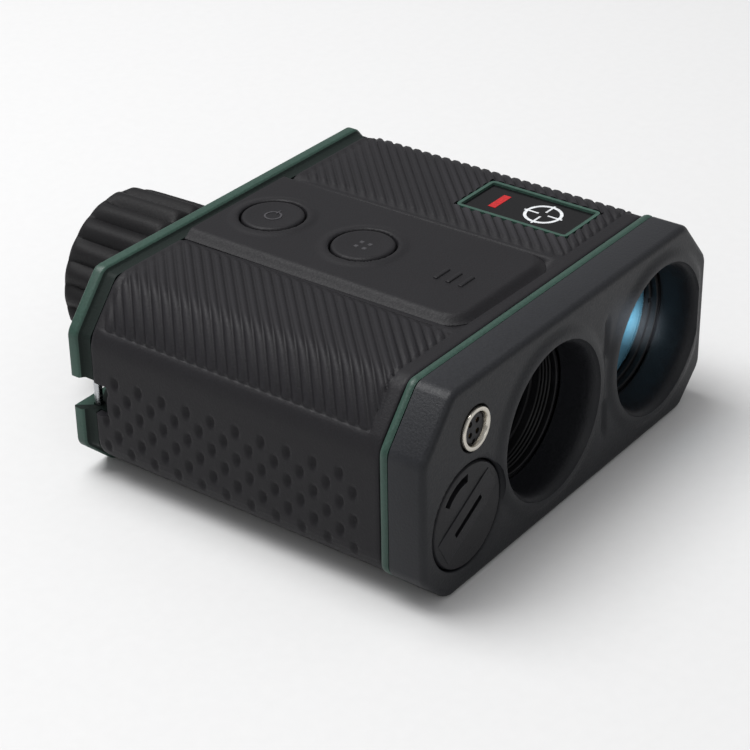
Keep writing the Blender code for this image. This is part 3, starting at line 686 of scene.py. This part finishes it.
def bezel_relief(x, z):
    """How far the bezel's face stands out: ridges round the lenses, a cusp between, a dip at the cap."""
    near = min(math.hypot(x - ax, z - az) for ax, az in LENS_AXES)
    cap = math.hypot(x - CAP_AXIS[0], z - CAP_AXIS[1])
    up = abs(z - LENS_Z)
    cusp = 0.6 * math.exp(-((x - 10.15) / 0.7) ** 2) * fade(up, 3.5, 5.5) * (1 - fade(up, 10.5, 13.0))
    return -cusp + 0.6 * (1 - fade(near, 15.6, 17.4)) - 0.35 * (1 - fade(cap, 9.8, 10.8))

bezel = bmesh.new()
plate = bezel.faces.new([bezel.verts.new((x, BEZEL_BACK, z)) for x, z in CORNERS])
made = bmesh.ops.extrude_face_region(bezel, geom=[plate])["geom"]
front = [g for g in made if isinstance(g, bmesh.types.BMVert)]
bmesh.ops.translate(bezel, vec=(0, -BEZEL_THICK, 0), verts=front)
bmesh.ops.recalc_face_normals(bezel, faces=bezel.faces)
round_corners(bezel, 1.3)
soften(bezel, [e for e in bezel.edges if all(v.co.y < -50 for v in e.verts)], 1.2, 6)
face_plate = [f for f in bezel.faces if f.normal.y < -0.99]
face_plate = slice_faces(bezel, face_plate, planes("X", [-43 + 0.75 * i for i in range(116)])
                         + planes("X", [8.9 + 0.25 * i for i in range(11)])
                         + planes("Z", [2 + 0.75 * i for i in range(48)]))
border = {v for e in bezel.edges if e.is_manifold
          and sum(f.normal.y < -0.99 for f in e.link_faces) == 1 for v in e.verts}
for vert in {v for f in face_plate for v in f.verts} - border:
    edge = depth_inside(vert.co.x, vert.co.z)
    vert.co.y -= bezel_relief(vert.co.x, vert.co.z) * fade(edge, 2.0, 3.4)
print("bezel blank faces:", len(bezel.faces))

# %% Open the bezel
cutters = bmesh.new()
for ax, az in LENS_AXES:
    add_to(cutters, lathe_back([(0, -52), (15.0, -52), (14.75, -50.75), (14.3, -50.3), (13.9, -49.7),
                                (13.65, -48.8), (13.6, -47.5), (13.6, -42), (0, -42)], ax, az, 128))
add_to(cutters, lathe_back([(0, -52), (10.6, -52), (10.25, -50.1), (9.98, -49.8), (9.9, -49.4),
                            (9.9, -42), (0, -42)], *CAP_AXIS))
add_to(cutters, lathe_back([(0, -52), (4.6, -52), (4.3, -50.2), (4.1, -49.9), (4.1, -42), (0, -42)],
                           *SOCKET_AXIS, 64))
bezel = carve(bezel, cutters)
piece("front_bezel_plate", bezel, [bezel_plastic], "case", ["front_bezel"], crease=40)

# %% [markdown]
# ## Seal, rear frame and rear panel
# An olive seal shows as a light line between the bezel and the armour. At the back an olive frame has a
# raised lip, and the step in front of it is painted darker as shade. Both come from their engineering parts,
# with their corners eased and the slopes cut as a few rings.

# %% Seal ring
seal = copy_of("front_seal")
round_corners(seal, 1.0)
seal_skin = slice_faces(seal, skin_of(seal), planes("Y", (-42.75, -42.5, -42.0, -41.7)))
sink_skin(seal, seal_skin, lambda p: 0.2 * (1 - fade(min(p.y + 42.9, -41.5 - p.y), 0.0, 0.4)))
piece("front_seal_ring", seal, [green_plastic], "case", ["front_seal"])

# %% Rear frame with its lip
LIP_FRONT = 24.6  # the step painted dark as shade ends here and the glossier lip begins

def lip_sink(point):
    """The step in front of the lip, and the lip's rounded rear edge."""
    return 0.9 * (1 - fade(point.y, 24.1, 25.0)) + 0.5 * fade(point.y, 26.4, 27.1) ** 2

rear = copy_of("rear_frame")
round_corners(rear, 1.0)
lip_cuts = planes("Y", (24.1, 24.35, LIP_FRONT, 24.85, 25.0, 26.4, 26.6, 26.8, 26.92))
sink_skin(rear, slice_faces(rear, skin_of(rear), lip_cuts), lip_sink)
for face in rear.faces:
    # faces in front of the lip take the green that is painted dark as the recess's shade
    face.material_index = int(face.calc_center_median().y < LIP_FRONT)
piece("rear_frame_ring", rear, [green_plastic, recess_shade_green], "case", ["rear_frame"])

# %% Rear panel
rear_panel = copy_of("rear_panel")
soften(rear_panel, [e for e in rear_panel.edges if e.calc_face_angle(0) > 0.6
                    and all(v.co.y > 26.9 for v in e.verts)], 0.4, 3)
piece("rear_cover", rear_panel, [bezel_plastic], "case", ["rear_panel"])

# %% [markdown]
# ## Screws, strap pin and tripod insert
# Four cross-recess screws hold the rear panel, a steel pin spans the strap notch, and a brass insert in
# the base takes a tripod screw. All are turned parts, and the recess and thread are cut into them.

# %% Rear screws
for number, node in enumerate(sorted(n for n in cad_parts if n.startswith("rear_screw")), 1):
    x, z = axis_of(node)
    screw = lathe_back([(0, 17), (0.9, 17), (1.2, 17.4), (1.2, 25.8), (2.2, 25.8), (2.2, 26.5),
                        (1.9, 26.85), (1.2, 27.0), (0, 27.0)], x, z, 40)
    for half_x, half_z in ((1.1, 0.2), (0.2, 1.1)):
        screw = carve(screw, block((x - half_x, 26.3, z - half_z), (x + half_x, 28, z + half_z)))
    piece(f"rear_screw_{number}_turned", screw, [stainless_steel], "case", [node])

# %% Strap pin and tripod insert
low, high = box_mm("strap_pin")
pin = lathe([(0, low.z), (0.6, low.z), (0.75, low.z + 0.15), (0.75, high.z - 0.15), (0.6, high.z),
             (0, high.z)], 32)
move_shape(pin, (low.x + high.x) / 2, (low.y + high.y) / 2, 0)
piece("strap_pin_turned", pin, [stainless_steel], "case", ["strap_pin"])
thread = []
for turn in range(7):
    thread += [(3.2, 0.75 + turn * 0.9), (3.5, 1.2 + turn * 0.9)]
insert = lathe([(3.7, 0.0), (7.7, 0.0), (8.0, 0.3), (8.0, 1.6), (5.2, 1.6), (5.2, 8.6), (0, 8.6),
                (0, 7.4), (3.2, 7.4)] + thread[::-1] + [(3.3, 0.4)], 64)
move_shape(insert, 0, 12, 0)
piece("tripod_insert_turned", insert, [brass], "case", ["tripod_insert"])

# %% [markdown]
# ## The optics seen from the front
# Behind each bore stands a black barrel with fine anti-glare threads, a lens with a deep curve, and a
# threaded retaining ring. The curve matters, because it bends the reflection of the room into the bright
# streak that says glass.

# %% Barrels with anti-glare threads
LENS_EDGES = {"objective": -36.6, "receiver": -40.2}  # where the front of each lens's rim lies
BARREL_OUTER, BARREL_INNER, RIDGE_STEP = 13.3, 12.6, 0.7

def baffled_tube(node, lens_front):
    """A tube whose inner wall carries fine ridges from its mouth down to the lens."""
    low, high = box_mm(node)
    profile = [(BARREL_OUTER, low.y), (BARREL_OUTER, high.y), (BARREL_INNER, high.y),
               (BARREL_INNER, lens_front)]
    y = lens_front
    while y - RIDGE_STEP > low.y + 0.4:
        profile += [(BARREL_INNER + 0.02, y - 0.15), (BARREL_INNER + 0.2, y - 0.35),
                    (BARREL_INNER + 0.02, y - 0.65)]
        y -= RIDGE_STEP
    profile += [(BARREL_INNER + 0.1, low.y + 0.15), (BARREL_INNER + 0.25, low.y)]
    return lathe_back(profile, *axis_of(node))

for name, lens_edge in LENS_EDGES.items():
    tube = baffled_tube(f"{name}_barrel", lens_edge - 2.6)
    piece(f"{name}_tube", tube, [aluminium], "case", [f"{name}_barrel"])

# %% Lenses and retaining rings
LENS_RADIUS, LENS_SAG, LENS_THICK = 12.3, 2.0, 2.0

def lens(node, rim, steps=12):
    """A thick disc with a domed front, whose rim starts at the given Y."""
    ball = (LENS_RADIUS ** 2 + LENS_SAG ** 2) / (2 * LENS_SAG)
    radii = [LENS_RADIUS * i / steps for i in range(steps + 1)]
    dome = [(r, rim - (math.sqrt(ball ** 2 - r ** 2) - (ball - LENS_SAG))) for r in radii]
    back = [(LENS_RADIUS, rim + LENS_THICK * 0.9), (LENS_RADIUS * 0.98, rim + LENS_THICK),
            (0, rim + LENS_THICK)]
    return lathe_back(dome + back, *axis_of(node))

for name, glass, slot in (("objective", lens_glass, "lens_glass"),
                          ("receiver", coated_lens_glass, "coated_lens_glass")):
    piece(f"{name}_glass", lens(f"{name}_lens", LENS_EDGES[name]), [glass], "case", [f"{name}_lens"])
for name in LENS_EDGES:
    node = f"{name}_retainer"
    low, high = box_mm(node)
    x, z = axis_of(node)
    ring = lathe_back([(11.9, low.y + 0.9), (12.2, low.y + 0.7), (12.3, low.y + 0.7), (12.5, low.y + 0.9),
                       (12.5, high.y), (11.9, high.y)], x, z)
    for side in (x - 12, x + 12):
        ring = carve(ring, block((side - 1.2, low.y - 1, z - 0.5), (side + 1.2, low.y + 1.1, z + 0.5)))
    piece(f"{name}_retaining_ring", ring, [aluminium], "case", [node])

# %% [markdown]
# ## The battery cap
# The cap is a threaded plug with a flat face that sits flush in the bezel. A slot takes a coin, a broad
# bar crosses the face, and a crescent pocket beside the bar gives a fingernail a grip. The disc is turned,
# then the slot and pocket are cut.

# %% Cap
CAP_TURN = -29  # degrees that the bar and the slot are turned from level

def coin_slot():
    """The cutter that opens the slot."""
    return turn_shape(block((-4.2, -51, -0.55), (4.2, -48.9, 0.55), 0.2, 2), CAP_TURN, "Y")

cap = lathe_back([(0, -49.95), (6.8, -49.95), (8.9, -50.05), (9.35, -49.95), (9.6, -49.6), (9.6, -48),
                  (7.75, -48), (7.75, -47.6), (7.35, -47.3), (7.75, -47.0), (7.35, -46.6), (7.75, -46.3),
                  (7.35, -45.9), (7.75, -45.6), (7.35, -45.2), (7.75, -44.9), (7.55, -43.3),
                  (0, -43.3)], 0, 0)
pocket = bmesh.new()
corner = [pocket.verts.new(p) for p in ((6.5, -51, 0), (8.3, -51, 0), (8.1, -48.6, 0), (6.7, -48.6, 0))]
wedge = pocket.faces.new(corner)
bmesh.ops.spin(pocket, geom=[wedge] + list(wedge.edges) + corner, cent=(0, 0, 0), axis=(0, 1, 0),
               dvec=(0, 0, 0), angle=math.radians(52), steps=18, use_merge=False)
turn_shape(pocket, -142, "Y")
bmesh.ops.recalc_face_normals(pocket, faces=pocket.faces)
cap = carve(carve(cap, coin_slot()), pocket)
bar = turn_shape(block((-8.2, -50.15, -2.9), (8.2, -49.8, 2.9), 0.12, 3), CAP_TURN, "Y")
add_to(cap, carve(bar, coin_slot()))
move_shape(cap, CAP_AXIS[0], 0, CAP_AXIS[1])
piece("battery_cap_face", cap, [inner_plastic], "battery_cap", ["battery_cap"])

# %% [markdown]
# ## The data socket
# A nickel-plated shell with a rolled lip surrounds a black insert with four contacts. The contacts are
# small gold tubes set just below the insert's face, which is why they look like dark holes.

# %% Socket shell, insert and contacts
sx, sz = SOCKET_AXIS
shell = lathe_back([(2.95, -50.3), (3.15, -50.6), (3.5, -50.7), (3.8, -50.6), (3.9, -50.35), (3.9, -49.3),
                    (3.3, -49.3), (3.3, -41), (2.9, -41)], sx, sz, 64)
piece("socket_shell", shell, [nickel_plate], "case", ["connector_shell"])
angles = [math.radians(45 + 90 * k) for k in range(4)]
spots = [(sx + 1.45 * math.cos(angle), sz + 1.45 * math.sin(angle)) for angle in angles]
holes = bmesh.new()
for px, pz in spots:
    add_to(holes, lathe_back([(0, -51), (0.56, -51), (0.52, -48.2), (0, -48.2)], px, pz, 20))
add_to(holes, block((sx - 0.4, -51, sz - 2.9), (sx + 0.4, -48.6, sz - 2.15)))
insert = lathe_back([(0, -49.9), (2.6, -49.9), (2.85, -49.7), (2.85, -48.8), (2.6, -48.6), (2.6, -41.5),
                     (0, -41.5)], sx, sz, 64)
piece("socket_insert", carve(insert, holes), [inner_plastic], "case", ["connector_insert"])
for number, (px, pz) in enumerate(spots, 1):
    tube = lathe_back([(0.26, -49.6), (0.4, -49.6), (0.45, -49.45), (0.45, -40.4), (0, -40.4), (0, -48.7),
                       (0.26, -48.7)], px, pz, 20)
    piece(f"socket_contact_{number}", tube, [gold_plate], "case", [f"connector_pin_{number}"])

# %% [markdown]
# ## Eyepiece, focus ring and eyecup
# Behind the rear panel stands the eyepiece. Its rubber ring has twenty broad flutes that catch a finger,
# so its outline is scalloped. A circle of 240 points is pushed in and out to make the flutes and then
# extruded from station to station, which keeps each flute a smooth wave along its whole length.

# %% Focus ring
EYE_X, EYE_Z = LENS_AXES[0]
FLUTES, RING_POINTS = 20, 240

def fluted_tube(stations):
    """Extrudes a circle through (radius, y, flute depth) stations and closes it into a ring."""
    shape = bmesh.new()
    bmesh.ops.create_circle(shape, cap_ends=False, segments=RING_POINTS, radius=1)
    first = shape.edges[:]
    loop = first
    angles = {v: math.atan2(v.co.y, v.co.x) for v in shape.verts}
    for index, (radius, y, depth) in enumerate(stations):
        if index:
            made = bmesh.ops.extrude_edge_only(shape, edges=loop)["geom"]
            verts = [g for g in made if isinstance(g, bmesh.types.BMVert)]
            loop = [g for g in made if isinstance(g, bmesh.types.BMEdge) and g.is_boundary]
            for v in verts:
                angles[v] = math.atan2(v.co.z - EYE_Z, v.co.x - EYE_X)
        else:
            verts = shape.verts[:]
        for v in verts:
            reach = radius - depth * (1 - abs(math.cos(FLUTES * angles[v] / 2)))
            v.co = (EYE_X + reach * math.cos(angles[v]), y, EYE_Z + reach * math.sin(angles[v]))
    bmesh.ops.bridge_loops(shape, edges=first + loop)
    bmesh.ops.recalc_face_normals(shape, faces=shape.faces)
    return shape

ring = fluted_tube([(13.3, 29.4, 0), (13.8, 29.4, 0), (13.9, 29.6, 0), (13.9, 31.4, 0), (14.3, 31.9, 0),
                    (15.2, 32.3, 0.2), (15.8, 32.8, 0.6), (16.15, 33.4, 1.0), (16.3, 34.2, 1.3),
                    (16.25, 38, 1.35), (16.15, 42, 1.35), (16.05, 46, 1.3), (15.95, 48.4, 1.1),
                    (15.8, 49.3, 0.7), (15.4, 49.8, 0.2), (14.9, 50.0, 0), (13.3, 50.0, 0)])
piece("focus_grip", ring, [ring_rubber], "focus_ring", ["focus_ring"], crease=50)
cup = lathe_back([(10.6, 46.9), (13, 46.9), (13, 50.2), (12.85, 50.6), (12.5, 50.8), (11.6, 50.8),
                  (11.0, 50.6), (10.6, 50.1), (10.45, 49.2), (10.5, 48)], EYE_X, EYE_Z)
piece("eyecup_lip", cup, [ring_rubber], "focus_ring", ["eyecup"])

# %% Eyepiece barrel and eye lens
barrel = lathe_back([(11.5, 20.5), (12.9, 20.5), (12.9, 27.3), (14.6, 27.3), (14.8, 27.5), (14.8, 28.9),
                     (14.6, 29.1), (12.9, 29.1), (12.9, 46.3), (11.5, 46.3)], EYE_X, EYE_Z)
piece("eyepiece_tube", barrel, [aluminium], "case", ["eyepiece_barrel"])
dome = [(9.5 * i / 10, 40.4 + 1.2 * (1 - (i / 10) ** 2)) for i in range(11)]
eye = lathe_back(dome + [(9.5, 38.8), (0, 38.8)], EYE_X, EYE_Z)
piece("eye_glass", eye, [lens_glass], "lens_cell", ["eyepiece_lens"])

# %% [markdown]
# ## Floor, light and camera
# The object lies on a plain white sweep under a big soft light, as in any catalogue. The room itself is
# nearly white, so dark rubber picks up a faint sheen on every face. A narrow spot shines down the bore
# of the receiving lens, so that its coating lights up. The camera looks down from the front left through
# a long lens.

# %% Floor
floor = bmesh.new()
bmesh.ops.create_grid(floor, x_segments=2, y_segments=2, size=3.0)
mesh = bpy.data.meshes.new("floor")
floor.to_mesh(mesh)
floor.free()
floor_thing = bpy.data.objects.new("floor", mesh)
scene.collection.objects.link(floor_thing)
floor_thing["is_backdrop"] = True
paper, tree, place = new_finish("white_paper_sweep")
fibre = noise(tree, place, 400.0)
close(tree, {"Base Color": blend(tree, fibre, paint("#d0d0d0"), paint("#d4d4d4")), "Roughness": 0.9})
mesh.materials.append(paper)

# %% Lights
world = bpy.data.worlds.new("white_room")
scene.world = world
world.use_nodes = True
room = world.node_tree.nodes["Background"].inputs
room["Color"].default_value = (0.95, 0.95, 0.96, 1)
room["Strength"].default_value = 0.46
scene.view_settings.view_transform = "Standard"

def lamp_at(lamp, at, look_at):
    """Hangs a lamp at one point and aims it at another, both in metres."""
    thing = bpy.data.objects.new(lamp.name, lamp)
    scene.collection.objects.link(thing)
    thing.location = at
    thing.rotation_euler = (Vector(look_at) - Vector(at)).to_track_quat("-Z", "Y").to_euler()

def softbox(name, at, look_at, side, watts):
    """A square softbox."""
    lamp = bpy.data.lights.new(name, "AREA")
    lamp.shape, lamp.size, lamp.energy = "SQUARE", side, watts
    lamp_at(lamp, at, look_at)

softbox("overhead_softbox", (-0.15, 0.3, 0.9), (0, 0, 0), 0.65, 11.0)
softbox("front_left_softbox", (-0.5, -0.7, 0.55), (0, 0, 0.02), 0.5, 0.7)
spot = bpy.data.lights.new("lens_spot", "SPOT")
spot.energy, spot.color, spot.shadow_soft_size = 75.0, (0.9, 0.98, 1.0), 0.003
spot.spot_size, spot.spot_blend = math.radians(1.1), 1.0
lamp_at(spot, (-0.2827, -0.222, 0.2175), (0.0352, -0.0415, 0.0170))
print("lamps:", len(bpy.data.lights))

# %% Camera
AZIMUTH, ELEVATION, ROLL = math.radians(-52.72), math.radians(29.74), math.radians(-0.987)
LOOK_AT = Vector((0, -2.2, 25.0))
SHIFT_RIGHT, SHIFT_DOWN, DISTANCE = 3.822, 10.399, 406.38
back = Vector((math.sin(AZIMUTH) * math.cos(ELEVATION), -math.cos(AZIMUTH) * math.cos(ELEVATION),
               math.sin(ELEVATION)))
level = Vector((math.cos(AZIMUTH), math.sin(AZIMUTH), 0))
up = back.cross(level)
right = math.cos(ROLL) * level + math.sin(ROLL) * up
up = -math.sin(ROLL) * level + math.cos(ROLL) * up
stand = LOOK_AT + right * SHIFT_RIGHT - up * SHIFT_DOWN + back * DISTANCE
camera_data = bpy.data.cameras.new("catalogue_camera")
camera_data.lens, camera_data.sensor_width, camera_data.shift_y = 106.25, 36, -0.0253
camera = bpy.data.objects.new("catalogue_camera", camera_data)
scene.collection.objects.link(camera)
camera.matrix_world = Matrix.Translation(stand * 0.001) @ Matrix((right, up, back)).transposed().to_4x4()
scene.camera = camera
print("camera at, millimetres:", [round(c, 1) for c in stand])

# %% Write the sizes and finish
new_box = [list(corner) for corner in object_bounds()]
for name, corner, other in (("low", cad_box[0], new_box[0]), ("high", cad_box[1], new_box[1])):
    print(name, "corner, mm:", [round(1000 * c, 2) for c in corner], "and now", [round(1000 * c, 2) for c in other])
